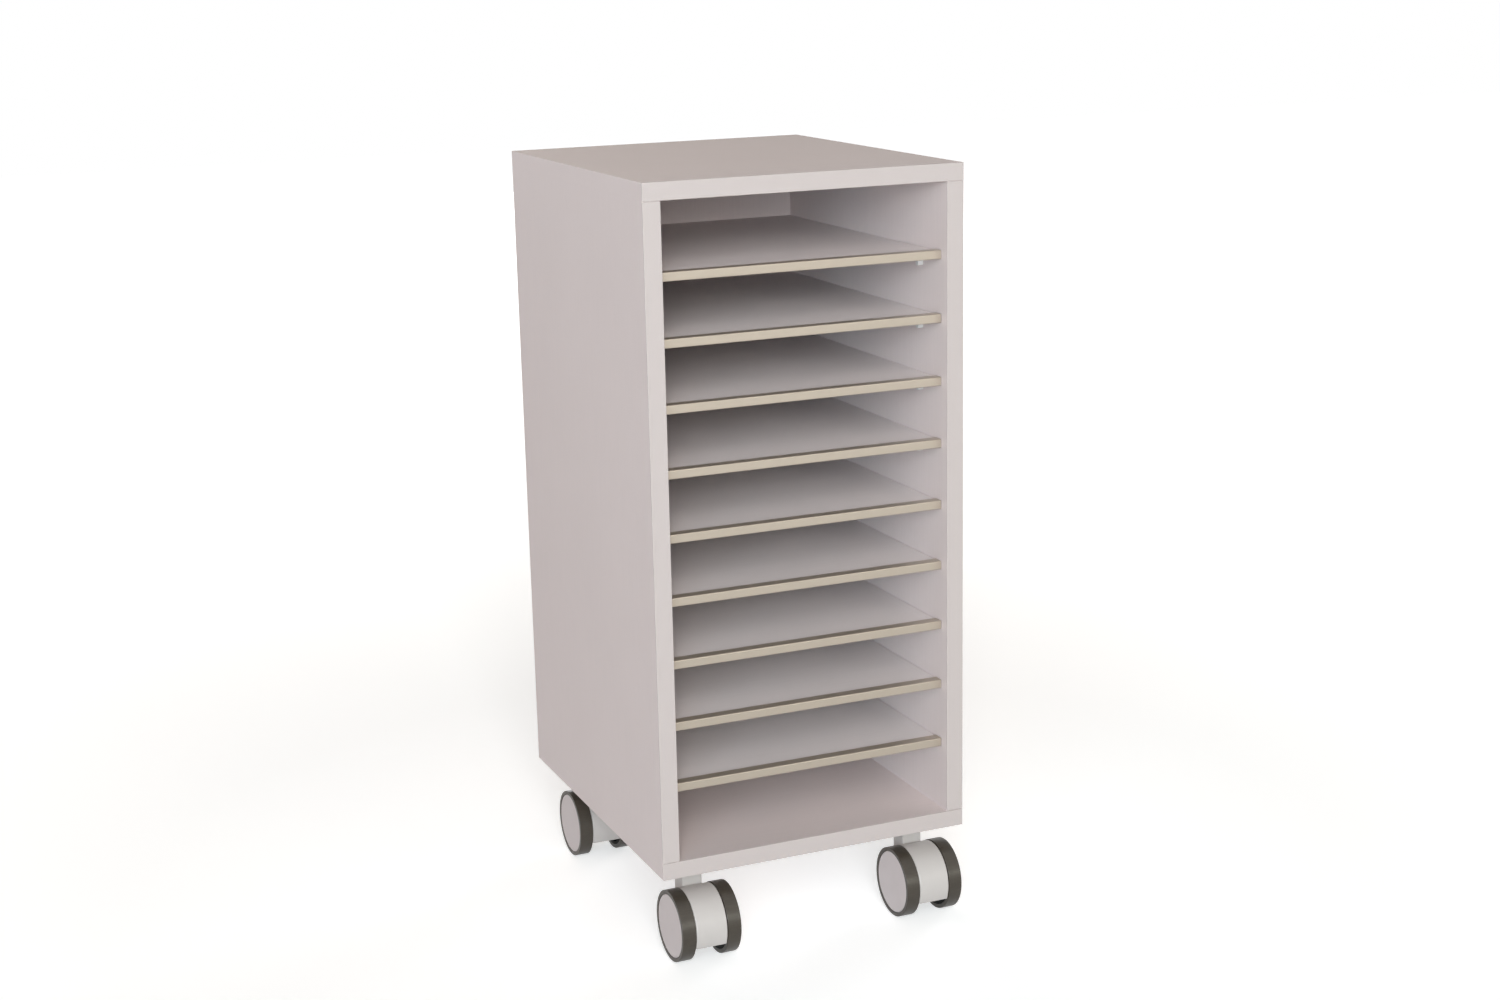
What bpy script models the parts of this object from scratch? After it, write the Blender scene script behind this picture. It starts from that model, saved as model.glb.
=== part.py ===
"""Mobile shelving unit: a narrow open carcass with thin shelves, on four twin-wheel casters.

Metres, +Z up. The floor is Z = 0, the open front faces -Y, and X = 0 is the middle of the carcass.
Y = 0 is the middle of the whole unit's depth, which counts the front wheels' overhang.
"""

import math

import bmesh
import bpy
from mathutils import Matrix

# Clearances
SEAT_GAP = 0.0003
RUNNING_GAP = 0.0003
WHEEL_SIDE_GAP = 0.0005
SHELF_END_GAP = 0.0007
SHELF_BACK_GAP = 0.0008

# Carcass boards
CARCASS_WIDTH = 0.3435
CARCASS_DEPTH = 0.400
CARCASS_HEIGHT = 0.7045
PANEL_THICKNESS = 0.018
BACK_THICKNESS = 0.018
BACK_RECESS = 0.0025
SIDE_INSET = 0.0006
EDGE_ROUNDING = 0.001
EDGE_SEGMENTS = 2

# Shelves with their metal edge strips
SHELF_COUNT = 9
SHELF_THICKNESS = 0.006
SHELF_SETBACK = 0.012
LOWEST_SHELF_TOP = 0.079
HEADROOM = 0.070
STRIP_DEPTH = 0.012
STRIP_WALL = 0.0012

# Shelf supports plugged into the side panels
SUPPORT_REACH = 0.006
SUPPORT_WIDTH = 0.006
SUPPORT_HEIGHT = 0.0125
SUPPORT_INSET = 0.043
SUPPORT_ROOT = 0.003
SUPPORT_ARC_STEPS = 6

# Casters
CASTER_INSET = 0.044
CASTER_WIDTH = 0.0645
TYRE_RADIUS = 0.0375
TYRE_THICKNESS = 0.0042
TYRE_CHAMFER = 0.0008
WHEEL_WIDTH = 0.0147
DISC_THICKNESS = 0.003
RIM_THICKNESS = 0.003
BOSS_RADIUS = 0.008
WHEEL_FACETS = 32
AXLE_RADIUS = 0.004
HOUSING_INSET = 0.0005
HOUSING_DROP = 0.0155
HOUSING_WALL = 0.0025
HOUSING_CHEEK = 0.003
HOUSING_CLEARANCE = 0.0212
HOUSING_ARC_STEPS = 28
NECK_SIDE = 0.022
NECK_STEP = 0.001
NECK_ROOT = 0.010
KINGPIN_RADIUS = 0.005
KINGPIN_LENGTH = 0.034
COLLAR_RADIUS = 0.010
COLLAR_THICKNESS = 0.002
PLATE_SIDE = 0.060
PLATE_THICKNESS = 0.0025
PIN_FACETS = 24

# Finishes: colour, roughness, metallic
FINISHES = {
    "panel": ((0.60, 0.54, 0.53), 0.55, 0.0),
    "shelf": ((0.60, 0.56, 0.56), 0.55, 0.0),
    "strip": ((0.66, 0.57, 0.47), 0.30, 1.0),
    "caster_plastic": ((0.58, 0.55, 0.53), 0.45, 0.0),
    "wheel_disc": ((0.56, 0.51, 0.52), 0.45, 0.0),
    "tyre": ((0.07, 0.06, 0.05), 0.60, 0.0),
    "steel": ((0.55, 0.55, 0.56), 0.35, 1.0),
}

# Heights and places that follow from the sizes above
TYRE_REACH = TYRE_RADIUS * math.cos(math.pi / WHEEL_FACETS)
AXLE_Z = TYRE_REACH
HOUSING_RADIUS = TYRE_RADIUS - HOUSING_INSET
CASTER_TRAIL = HOUSING_RADIUS + NECK_STEP - NECK_SIDE / 2
BASE_Z = AXLE_Z + HOUSING_RADIUS + HOUSING_CLEARANCE
FLOOR_Z = BASE_Z + PANEL_THICKNESS
CEILING_Z = BASE_Z + CARCASS_HEIGHT - PANEL_THICKNESS
TOP_Z = BASE_Z + CARCASS_HEIGHT
FRONT_OVERHANG = max(0.0, CASTER_TRAIL + TYRE_REACH - CASTER_INSET)
BACK_OVERHANG = max(0.0, TYRE_REACH - CASTER_TRAIL - CASTER_INSET)
FRONT_Y = (FRONT_OVERHANG - BACK_OVERHANG - CARCASS_DEPTH) / 2
REAR_Y = FRONT_Y + CARCASS_DEPTH
BACK_Y = REAR_Y - BACK_RECESS - BACK_THICKNESS
SIDE_OUTER_X = CARCASS_WIDTH / 2 - SIDE_INSET
SIDE_INNER_X = SIDE_OUTER_X - PANEL_THICKNESS
STRIP_HEIGHT = SHELF_THICKNESS + 2 * SEAT_GAP + 2 * STRIP_WALL
STRIP_FRONT_Y = FRONT_Y + SHELF_SETBACK
SHELF_FRONT_Y = STRIP_FRONT_Y + STRIP_WALL + SEAT_GAP
SHELF_REAR_Y = BACK_Y - SHELF_BACK_GAP
SHELF_PITCH = (CEILING_Z - FLOOR_Z - LOWEST_SHELF_TOP - HEADROOM) / (SHELF_COUNT - 1)
PLATE_BOTTOM_Z = BASE_Z - SEAT_GAP - PLATE_THICKNESS
COLLAR_BOTTOM_Z = PLATE_BOTTOM_Z - SEAT_GAP - COLLAR_THICKNESS
NECK_TOP_Z = COLLAR_BOTTOM_Z - RUNNING_GAP
KINGPIN_END_Z = BASE_Z - KINGPIN_LENGTH
WHEEL_OUTER_X = CASTER_WIDTH / 2
WHEEL_INNER_X = WHEEL_OUTER_X - WHEEL_WIDTH
HOUSING_HALF = WHEEL_INNER_X - WHEEL_SIDE_GAP
RIM_RADIUS = TYRE_RADIUS - TYRE_THICKNESS - SEAT_GAP


def clear_scene():
    for item in list(bpy.data.objects):
        bpy.data.objects.remove(item, do_unlink=True)


def make_finish(name):
    colour, roughness, metallic = FINISHES[name]
    material = bpy.data.materials.new(name)
    material.use_nodes = True
    shader = material.node_tree.nodes["Principled BSDF"]
    shader.inputs["Base Color"].default_value = (*colour, 1.0)
    shader.inputs["Roughness"].default_value = roughness
    shader.inputs["Metallic"].default_value = metallic
    return material


def mesh_from(shape, name):
    bmesh.ops.recalc_face_normals(shape, faces=shape.faces)
    mesh = bpy.data.meshes.new(name)
    shape.to_mesh(mesh)
    shape.free()
    return mesh


def add_object(name, mesh, finish, parent=None):
    piece = bpy.data.objects.new(name, mesh)
    bpy.context.scene.collection.objects.link(piece)
    piece.data.materials.clear()
    piece.data.materials.append(finish)
    piece.parent = parent
    return piece


def add_empty(name, place, parent=None):
    empty = bpy.data.objects.new(name, None)
    bpy.context.scene.collection.objects.link(empty)
    empty.location = place
    empty.parent = parent
    return empty


def box_mesh(name, low, high):
    shape = bmesh.new()
    size = [high[axis] - low[axis] for axis in range(3)]
    middle = [(high[axis] + low[axis]) / 2 for axis in range(3)]
    placing = Matrix.Translation(middle) @ Matrix.Diagonal((*size, 1.0))
    bmesh.ops.create_cube(shape, size=1.0, matrix=placing)
    return mesh_from(shape, name)


def extrude_outline(shape, outline, start_x, end_x):
    """Adds to the shape a prism whose (y, z) outline runs from one X to the other."""
    corners = [shape.verts.new((start_x, y, z)) for y, z in outline]
    cap = shape.faces.new(corners)
    grown = bmesh.ops.extrude_face_region(shape, geom=[cap])
    moved = [part for part in grown["geom"] if isinstance(part, bmesh.types.BMVert)]
    bmesh.ops.translate(shape, verts=moved, vec=(end_x - start_x, 0.0, 0.0))


def prism_mesh(name, outline, start_x, end_x):
    shape = bmesh.new()
    extrude_outline(shape, outline, start_x, end_x)
    return mesh_from(shape, name)


def turned_mesh(name, profile, facets, closed):
    """Spins an (x, radius) profile about the X axis, with a flat facet at the bottom."""
    shape = bmesh.new()
    lean = math.pi / facets
    points = [(x, radius * math.sin(lean), -radius * math.cos(lean)) for x, radius in profile]
    corners = [shape.verts.new(point) for point in points]
    pairs = list(zip(corners, corners[1:]))
    if closed:
        pairs.append((corners[-1], corners[0]))
    edges = [shape.edges.new(pair) for pair in pairs]
    bmesh.ops.spin(shape, geom=corners + edges, axis=(1, 0, 0), cent=(0, 0, 0),
                   angle=2 * math.pi, steps=facets)
    bmesh.ops.remove_doubles(shape, verts=shape.verts, dist=1e-6)
    return mesh_from(shape, name)


def stand_upright(mesh):
    """Turns a mesh that runs along X so that its start points up and its end points down."""
    mesh.transform(Matrix.Rotation(math.pi / 2, 4, "Y"))


def combine(name, base_mesh, steps):
    """Cuts and joins meshes in order, and returns the finished mesh."""
    base = bpy.data.objects.new(name, base_mesh)
    bpy.context.scene.collection.objects.link(base)
    tools = []
    for operation, tool_mesh in steps:
        tool = bpy.data.objects.new(tool_mesh.name, tool_mesh)
        bpy.context.scene.collection.objects.link(tool)
        tool.hide_render = True
        tool.display_type = "WIRE"
        cut = base.modifiers.new(tool_mesh.name, "BOOLEAN")
        cut.operation = operation
        cut.solver = "EXACT"
        cut.object = tool
        tools.append(tool)
    depsgraph = bpy.context.evaluated_depsgraph_get()
    finished = bpy.data.meshes.new_from_object(base.evaluated_get(depsgraph))
    finished.name = name
    for item in [base, *tools]:
        bpy.data.objects.remove(item, do_unlink=True)
    return finished


def round_edges(piece):
    rounding = piece.modifiers.new("edge_rounding", "BEVEL")
    rounding.width = EDGE_ROUNDING
    rounding.segments = EDGE_SEGMENTS
    rounding.limit_method = "ANGLE"


def shelf_tops():
    """Heights of the strips' upper faces, from the lowest shelf up."""
    lowest = FLOOR_Z + LOWEST_SHELF_TOP
    return [lowest + index * SHELF_PITCH for index in range(SHELF_COUNT)]


def board_top(strip_top):
    return strip_top - STRIP_WALL - SEAT_GAP


def support_outline(middle_y, top_z):
    """A peg seen from the side: flat on top, half round below."""
    half = SUPPORT_WIDTH / 2
    round_z = top_z - SUPPORT_HEIGHT + half
    outline = [(middle_y + half, top_z), (middle_y - half, top_z)]
    for step in range(SUPPORT_ARC_STEPS + 1):
        angle = math.pi * (1 + step / SUPPORT_ARC_STEPS)
        outline.append((middle_y + half * math.cos(angle), round_z + half * math.sin(angle)))
    return outline


def supports_mesh(side):
    """All the shelf supports of one side panel; side is -1 for the left and 1 for the right."""
    shape = bmesh.new()
    rows = (STRIP_FRONT_Y + SUPPORT_INSET, SHELF_REAR_Y - SUPPORT_INSET)
    for strip_top in shelf_tops():
        top_z = board_top(strip_top) - SHELF_THICKNESS - SEAT_GAP
        for middle_y in rows:
            root_x = side * (SIDE_INNER_X + SUPPORT_ROOT)
            tip_x = side * (SIDE_INNER_X - SUPPORT_REACH)
            extrude_outline(shape, support_outline(middle_y, top_z), root_x, tip_x)
    return mesh_from(shape, "supports")


def build_carcass(finishes):
    half = CARCASS_WIDTH / 2
    low, high = (-half, FRONT_Y, BASE_Z), (half, REAR_Y, FLOOR_Z)
    bottom = add_object("bottom_panel", box_mesh("bottom_panel", low, high), finishes["panel"])
    round_edges(bottom)
    low, high = (-half, FRONT_Y, CEILING_Z), (half, REAR_Y, TOP_Z)
    top = add_object("top_panel", box_mesh("top_panel", low, high), finishes["panel"])
    round_edges(top)
    for name, side in (("left_side_panel", -1), ("right_side_panel", 1)):
        reach = sorted((side * SIDE_INNER_X, side * SIDE_OUTER_X))
        low = (reach[0], FRONT_Y, FLOOR_Z + SEAT_GAP)
        high = (reach[1], REAR_Y, CEILING_Z - SEAT_GAP)
        board = bpy.data.objects.new(name, box_mesh(name, low, high))
        round_edges(board)
        bpy.context.scene.collection.objects.link(board)
        depsgraph = bpy.context.evaluated_depsgraph_get()
        rounded = bpy.data.meshes.new_from_object(board.evaluated_get(depsgraph))
        bpy.data.objects.remove(board, do_unlink=True)
        mesh = combine(name, rounded, [("UNION", supports_mesh(side))])
        add_object(name, mesh, finishes["panel"])
    low = (-SIDE_INNER_X + SEAT_GAP, BACK_Y, FLOOR_Z + SEAT_GAP)
    high = (SIDE_INNER_X - SEAT_GAP, BACK_Y + BACK_THICKNESS, CEILING_Z - SEAT_GAP)
    add_object("back_panel", box_mesh("back_panel", low, high), finishes["panel"])


def strip_outline(top_z):
    """A channel that opens backwards and holds the front edge of its shelf."""
    bottom_z = top_z - STRIP_HEIGHT
    rear_y = STRIP_FRONT_Y + STRIP_DEPTH
    web_y = STRIP_FRONT_Y + STRIP_WALL
    return [
        (STRIP_FRONT_Y, bottom_z),
        (rear_y, bottom_z),
        (rear_y, bottom_z + STRIP_WALL),
        (web_y, bottom_z + STRIP_WALL),
        (web_y, top_z - STRIP_WALL),
        (rear_y, top_z - STRIP_WALL),
        (rear_y, top_z),
        (STRIP_FRONT_Y, top_z),
    ]


def build_shelves(finishes):
    half = SIDE_INNER_X - SHELF_END_GAP
    for number, strip_top in enumerate(shelf_tops(), start=1):
        name = f"shelf_{number}"
        low = (-half, SHELF_FRONT_Y, board_top(strip_top) - SHELF_THICKNESS)
        high = (half, SHELF_REAR_Y, board_top(strip_top))
        add_object(name, box_mesh(name, low, high), finishes["shelf"])
        name = f"shelf_strip_{number}"
        add_object(name, prism_mesh(name, strip_outline(strip_top), -half, half), finishes["strip"])


def housing_outline(radius, cut_z):
    """A round hood seen from the side, cut flat below; the axle is at (0, 0)."""
    cut_angle = math.asin(cut_z / radius)
    sweep = math.pi - 2 * cut_angle
    angles = [cut_angle + sweep * step / HOUSING_ARC_STEPS for step in range(HOUSING_ARC_STEPS + 1)]
    return [(radius * math.cos(angle), radius * math.sin(angle)) for angle in angles]


def rod_mesh(name, radius, start_x, end_x):
    profile = [(start_x, 0.0), (start_x, radius), (end_x, radius), (end_x, 0.0)]
    return turned_mesh(name, profile, PIN_FACETS, closed=False)


def housing_mesh():
    """Hood, neck and axle boss in one moulding, with the axle's middle at the origin."""
    hood = prism_mesh("hood", housing_outline(HOUSING_RADIUS, -HOUSING_DROP), -HOUSING_HALF, HOUSING_HALF)
    cavity_half = HOUSING_HALF - HOUSING_CHEEK
    cavity_radius = HOUSING_RADIUS - HOUSING_WALL
    cavity_outline = housing_outline(cavity_radius, -(HOUSING_DROP + HOUSING_WALL))
    cavity = prism_mesh("cavity", cavity_outline, -cavity_half, cavity_half)
    boss_half = cavity_half + HOUSING_CHEEK / 2
    boss = rod_mesh("boss", BOSS_RADIUS, -boss_half, boss_half)
    half = NECK_SIDE / 2
    low = (-half, CASTER_TRAIL - half, NECK_ROOT)
    high = (half, CASTER_TRAIL + half, NECK_TOP_Z - AXLE_Z)
    neck = box_mesh("neck", low, high)
    axle_hole = rod_mesh("axle_hole", AXLE_RADIUS + SEAT_GAP, -WHEEL_OUTER_X, WHEEL_OUTER_X)
    kingpin_hole = rod_mesh("kingpin_hole", KINGPIN_RADIUS + RUNNING_GAP,
                            AXLE_Z - BASE_Z, AXLE_Z - KINGPIN_END_Z + RUNNING_GAP)
    stand_upright(kingpin_hole)
    kingpin_hole.transform(Matrix.Translation((0.0, CASTER_TRAIL, 0.0)))
    steps = [
        ("DIFFERENCE", cavity),
        ("UNION", boss),
        ("UNION", neck),
        ("DIFFERENCE", axle_hole),
        ("DIFFERENCE", kingpin_hole),
    ]
    return combine("caster_housing", hood, steps)


def wheel_mesh(side):
    """A wheel disc with its rim and hub boss; side is -1 for the left wheel and 1 for the right."""
    bore = AXLE_RADIUS + RUNNING_GAP
    web_x = WHEEL_OUTER_X - DISC_THICKNESS
    profile = [
        (WHEEL_OUTER_X, 0.0),
        (WHEEL_OUTER_X, RIM_RADIUS),
        (WHEEL_INNER_X, RIM_RADIUS),
        (WHEEL_INNER_X, RIM_RADIUS - RIM_THICKNESS),
        (web_x, RIM_RADIUS - RIM_THICKNESS),
        (web_x, BOSS_RADIUS),
        (WHEEL_INNER_X, BOSS_RADIUS),
        (WHEEL_INNER_X, bore),
        (web_x, bore),
        (web_x, 0.0),
    ]
    profile = [(side * x, radius) for x, radius in profile]
    return turned_mesh("wheel", profile, WHEEL_FACETS, closed=False)


def tyre_mesh(side):
    inner = TYRE_RADIUS - TYRE_THICKNESS
    shoulder = TYRE_RADIUS - TYRE_CHAMFER
    profile = [
        (WHEEL_OUTER_X, inner),
        (WHEEL_OUTER_X, shoulder),
        (WHEEL_OUTER_X - TYRE_CHAMFER, TYRE_RADIUS),
        (WHEEL_INNER_X + TYRE_CHAMFER, TYRE_RADIUS),
        (WHEEL_INNER_X, shoulder),
        (WHEEL_INNER_X, inner),
    ]
    profile = [(side * x, radius) for x, radius in profile]
    return turned_mesh("tyre", profile, WHEEL_FACETS, closed=True)


def kingpin_mesh():
    """The swivel pin with its thrust collar, running down from the carcass."""
    profile = [
        (-BASE_Z + SEAT_GAP, 0.0),
        (-BASE_Z + SEAT_GAP, KINGPIN_RADIUS),
        (-PLATE_BOTTOM_Z + SEAT_GAP, KINGPIN_RADIUS),
        (-PLATE_BOTTOM_Z + SEAT_GAP, COLLAR_RADIUS),
        (-COLLAR_BOTTOM_Z, COLLAR_RADIUS),
        (-COLLAR_BOTTOM_Z, KINGPIN_RADIUS),
        (-KINGPIN_END_Z, KINGPIN_RADIUS),
        (-KINGPIN_END_Z, 0.0),
    ]
    mesh = turned_mesh("kingpin", profile, PIN_FACETS, closed=False)
    stand_upright(mesh)
    return mesh


def plate_mesh():
    half = PLATE_SIDE / 2
    plate = box_mesh("plate", (-half, -half, PLATE_BOTTOM_Z), (half, half, BASE_Z - SEAT_GAP))
    hole = rod_mesh("plate_hole", KINGPIN_RADIUS + SEAT_GAP, -TOP_Z, 0.0)
    stand_upright(hole)
    return combine("caster_plate", plate, [("DIFFERENCE", hole)])


def smooth_round(piece):
    piece.data.shade_smooth()
    piece.data.set_sharp_from_angle(angle=math.radians(30))


def build_caster(corner, place, meshes, finishes):
    """One caster at its corner: the plate and kingpin are fixed, the rest hangs on the swivel."""
    x, y = place
    name = f"{corner}_caster"
    mount = add_empty(f"{name}_mount", (x, y, 0.0))
    add_object(f"{name}_plate", meshes["plate"].copy(), finishes["steel"], mount)
    pin = add_object(f"{name}_kingpin", meshes["kingpin"].copy(), finishes["steel"], mount)
    smooth_round(pin)
    swivel = add_empty(f"{name}_swivel", (0.0, 0.0, 0.0), mount)
    axis = add_empty(f"{name}_axis", (0.0, -CASTER_TRAIL, AXLE_Z), swivel)
    housing = add_object(f"{name}_housing", meshes["housing"].copy(), finishes["caster_plastic"], axis)
    smooth_round(housing)
    axle = add_object(f"{name}_axle", meshes["axle"].copy(), finishes["steel"], axis)
    smooth_round(axle)
    for hand in ("left", "right"):
        disc = meshes[f"{hand}_wheel"].copy()
        wheel = add_object(f"{name}_{hand}_wheel", disc, finishes["wheel_disc"], axis)
        smooth_round(wheel)
        tread = meshes[f"{hand}_tyre"].copy()
        tyre = add_object(f"{name}_{hand}_tyre", tread, finishes["tyre"], axis)
        smooth_round(tyre)


def build_casters(finishes):
    axle_half = WHEEL_OUTER_X - DISC_THICKNESS - SEAT_GAP
    meshes = {
        "plate": plate_mesh(),
        "kingpin": kingpin_mesh(),
        "housing": housing_mesh(),
        "axle": rod_mesh("axle", AXLE_RADIUS, -axle_half, axle_half),
        "left_wheel": wheel_mesh(-1),
        "right_wheel": wheel_mesh(1),
        "left_tyre": tyre_mesh(-1),
        "right_tyre": tyre_mesh(1),
    }
    swivel_x = CARCASS_WIDTH / 2 - CASTER_INSET
    rows = (("front", FRONT_Y + CASTER_INSET), ("back", REAR_Y - CASTER_INSET))
    for row, y in rows:
        for hand, x in (("left", -swivel_x), ("right", swivel_x)):
            build_caster(f"{row}_{hand}", (x, y), meshes, finishes)


def main():
    clear_scene()
    finishes = {name: make_finish(name) for name in FINISHES}
    build_carcass(finishes)
    build_shelves(finishes)
    build_casters(finishes)


main()
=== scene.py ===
import bpy
import bmesh
import math
from mathutils import Matrix, Vector


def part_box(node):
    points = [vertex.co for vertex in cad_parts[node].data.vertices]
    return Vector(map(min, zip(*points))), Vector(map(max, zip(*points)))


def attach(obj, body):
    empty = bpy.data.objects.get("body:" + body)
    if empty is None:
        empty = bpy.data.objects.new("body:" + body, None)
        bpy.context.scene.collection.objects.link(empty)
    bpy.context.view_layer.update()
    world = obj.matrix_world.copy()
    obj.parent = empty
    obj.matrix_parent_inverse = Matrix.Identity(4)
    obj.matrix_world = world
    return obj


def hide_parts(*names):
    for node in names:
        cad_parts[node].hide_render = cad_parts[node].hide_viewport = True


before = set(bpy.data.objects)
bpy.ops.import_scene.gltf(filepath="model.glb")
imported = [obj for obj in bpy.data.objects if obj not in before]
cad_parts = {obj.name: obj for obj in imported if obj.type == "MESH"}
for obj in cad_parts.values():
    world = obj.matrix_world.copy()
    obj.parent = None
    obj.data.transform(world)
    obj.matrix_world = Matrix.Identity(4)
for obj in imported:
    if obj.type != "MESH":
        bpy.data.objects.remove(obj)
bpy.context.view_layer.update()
cornerNames = ("front_left", "front_right", "back_left", "back_right")

# camera

cameraSetup = {
    "place": (-0.9282, -2.1976, 1.0214),
    "heading": 23.20,  # degrees from +Y towards +X
    "downTilt": 13.89,
    "roll": -1.20,
    "lens": 54.58,
    "sensor": 36.0,
    "farthest": 100.0,
}


def makeCamera(setup):
    heading, tilt, roll = (math.radians(setup[key]) for key in ("heading", "downTilt", "roll"))
    right = Vector((math.cos(heading), -math.sin(heading), 0.0))
    flat = Vector((math.sin(heading), math.cos(heading), 0.0))
    ahead = flat * math.cos(tilt) - Vector((0.0, 0.0, math.sin(tilt)))
    upward = flat * math.sin(tilt) + Vector((0.0, 0.0, math.cos(tilt)))
    sideAxis = right * math.cos(roll) + upward * math.sin(roll)
    upAxis = upward * math.cos(roll) - right * math.sin(roll)
    turn = Matrix((sideAxis, upAxis, -ahead)).transposed().to_4x4()
    data = bpy.data.cameras.new("photoCamera")
    data.lens = setup["lens"]
    data.sensor_width = setup["sensor"]
    data.clip_end = setup["farthest"]
    camera = bpy.data.objects.new("photoCamera", data)
    camera.matrix_world = Matrix.Translation(setup["place"]) @ turn
    bpy.context.scene.collection.objects.link(camera)
    bpy.context.scene.camera = camera


makeCamera(cameraSetup)
print("camera set")

# node helpers


def addNode(tree, kind, **settings):
    node = tree.nodes.new(kind)
    for key, value in settings.items():
        setattr(node, key, value)
    return node


def combine(tree, operation, first, second):
    node = addNode(tree, "ShaderNodeMath", operation=operation)
    tree.links.new(first, node.inputs[0])
    tree.links.new(second, node.inputs[1])
    return node.outputs[0]


def spread(tree, source, low, high, fromLow=0.3, fromHigh=0.7):
    node = addNode(tree, "ShaderNodeMapRange")
    node.inputs["From Min"].default_value = fromLow
    node.inputs["From Max"].default_value = fromHigh
    node.inputs["To Min"].default_value = low
    node.inputs["To Max"].default_value = high
    tree.links.new(source, node.inputs["Value"])
    return node.outputs["Result"]


def aboutOne(tree, source, swing):
    return spread(tree, source, 1.0 - swing, 1.0 + swing)


def mirrorRay(tree, rays):
    return combine(tree, "MAXIMUM", rays["Is Glossy Ray"], rays["Is Transmission Ray"])


def startFinish(name):
    material = bpy.data.materials.new(name)
    material.use_nodes = True
    tree = material.node_tree
    return material, tree, tree.nodes["Principled BSDF"]


# sky, floor and lamps

skySetup = {
    "light": (1.0, 0.97, 0.94),
    "level": 0.05,
    "backdrop": 1.0,  # what the camera sees and surfaces mirror
}


def makeSky(setup):
    world = bpy.data.worlds.new("studioSky")
    world.use_nodes = True
    bpy.context.scene.world = world
    tree = world.node_tree
    output = tree.nodes["World Output"]
    lit = tree.nodes["Background"]
    lit.inputs["Color"].default_value = (*setup["light"], 1.0)
    lit.inputs["Strength"].default_value = setup["level"]
    white = addNode(tree, "ShaderNodeBackground")
    white.inputs["Color"].default_value = (1.0, 1.0, 1.0, 1.0)
    white.inputs["Strength"].default_value = setup["backdrop"]
    rays = addNode(tree, "ShaderNodeLightPath").outputs
    seen = combine(tree, "MAXIMUM", rays["Is Camera Ray"], mirrorRay(tree, rays))
    mix = addNode(tree, "ShaderNodeMixShader")
    tree.links.new(seen, mix.inputs[0])
    tree.links.new(lit.outputs[0], mix.inputs[1])
    tree.links.new(white.outputs[0], mix.inputs[2])
    tree.links.new(mix.outputs[0], output.inputs["Surface"])


floorSetup = {
    "reach": 9.0,
    "cells": 12,
    "colour": (0.80, 0.80, 0.80),
    "roughness": 0.9,
    "seenLift": (0.50, 1.0),  # near and far; whitens what the camera sees, gives no light
    "mirrorLift": (0.27, 0.58),  # the same for what surfaces mirror
    "fade": (0.7, 3.0),  # metres from the object
}


def makeFloor(setup):
    shape = bmesh.new()
    cells = setup["cells"]
    bmesh.ops.create_grid(shape, x_segments=cells, y_segments=cells, size=setup["reach"])
    mesh = bpy.data.meshes.new("paleFloor")
    shape.to_mesh(mesh)
    shape.free()
    floor = bpy.data.objects.new("paleFloor", mesh)
    bpy.context.scene.collection.objects.link(floor)
    material, tree, shader = startFinish("paleFloor")
    shader.inputs["Base Color"].default_value = (*setup["colour"], 1.0)
    shader.inputs["Roughness"].default_value = setup["roughness"]
    shader.inputs["Specular IOR Level"].default_value = 0.0
    shader.inputs["Emission Color"].default_value = (1.0, 1.0, 1.0, 1.0)
    place = addNode(tree, "ShaderNodeTexCoord")
    away = addNode(tree, "ShaderNodeVectorMath", operation="LENGTH")
    tree.links.new(place.outputs["Object"], away.inputs[0])
    distance = away.outputs["Value"]
    seenLift = spread(tree, distance, *setup["seenLift"], *setup["fade"])
    mirrorLift = spread(tree, distance, *setup["mirrorLift"], *setup["fade"])
    rays = addNode(tree, "ShaderNodeLightPath").outputs
    seen = combine(tree, "MULTIPLY", rays["Is Camera Ray"], seenLift)
    mirrored = combine(tree, "MULTIPLY", mirrorRay(tree, rays), mirrorLift)
    tree.links.new(combine(tree, "MAXIMUM", seen, mirrored), shader.inputs["Emission Strength"])
    mesh.materials.append(material)


# from: degrees round from the front towards the right, then degrees up
lampSetup = {
    "keyLamp": {"from": (-40.0, 14.0), "size": (2.6, 1.9), "power": 82.0, "tint": (0.72, 0.89, 1.0)},
    "lowLamp": {"from": (-42.0, 5.0), "size": (2.6, 0.9), "power": 57.0, "tint": (0.64, 0.86, 1.0)},
    "frontLamp": {"from": (-20.0, 20.0), "size": (2.3, 4.5), "power": 289.0, "tint": (0.98, 1.0, 1.0)},
    "midLamp": {"from": (-20.0, 16.0), "size": (2.3, 1.2), "power": 94.0, "tint": (0.9, 0.99, 1.0)},
    "highLamp": {"from": (-15.0, 48.0), "size": (2.3, 2.3), "power": 47.0, "tint": (1.0, 0.92, 0.86)},
    "fillLamp": {"from": (22.0, 12.0), "size": (2.0, 0.6), "power": 43.0, "tint": (1.0, 1.0, 0.86)},
    "leftLamp": {"from": (-88.0, 12.0), "size": (3.0, 3.0), "power": 32.0, "tint": (1.0, 0.57, 0.45)},
    "rightLamp": {"from": (118.0, 4.0), "size": (2.8, 2.8), "power": 320.0, "tint": (0.97, 0.985, 1.0)},
    "rearLamp": {"from": (-178.0, 38.0), "size": (2.8, 2.8), "power": 39.0, "tint": (1.0, 0.63, 0.25)},
    "backLamp": {"from": (180.0, 3.0), "size": (4.0, 3.0), "power": 120.0, "tint": (0.97, 0.985, 1.0)},
}
lampAim = Vector((0.0, 0.0, 0.42))
lampAway = 7.0  # metres from what the lamps aim at


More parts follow.
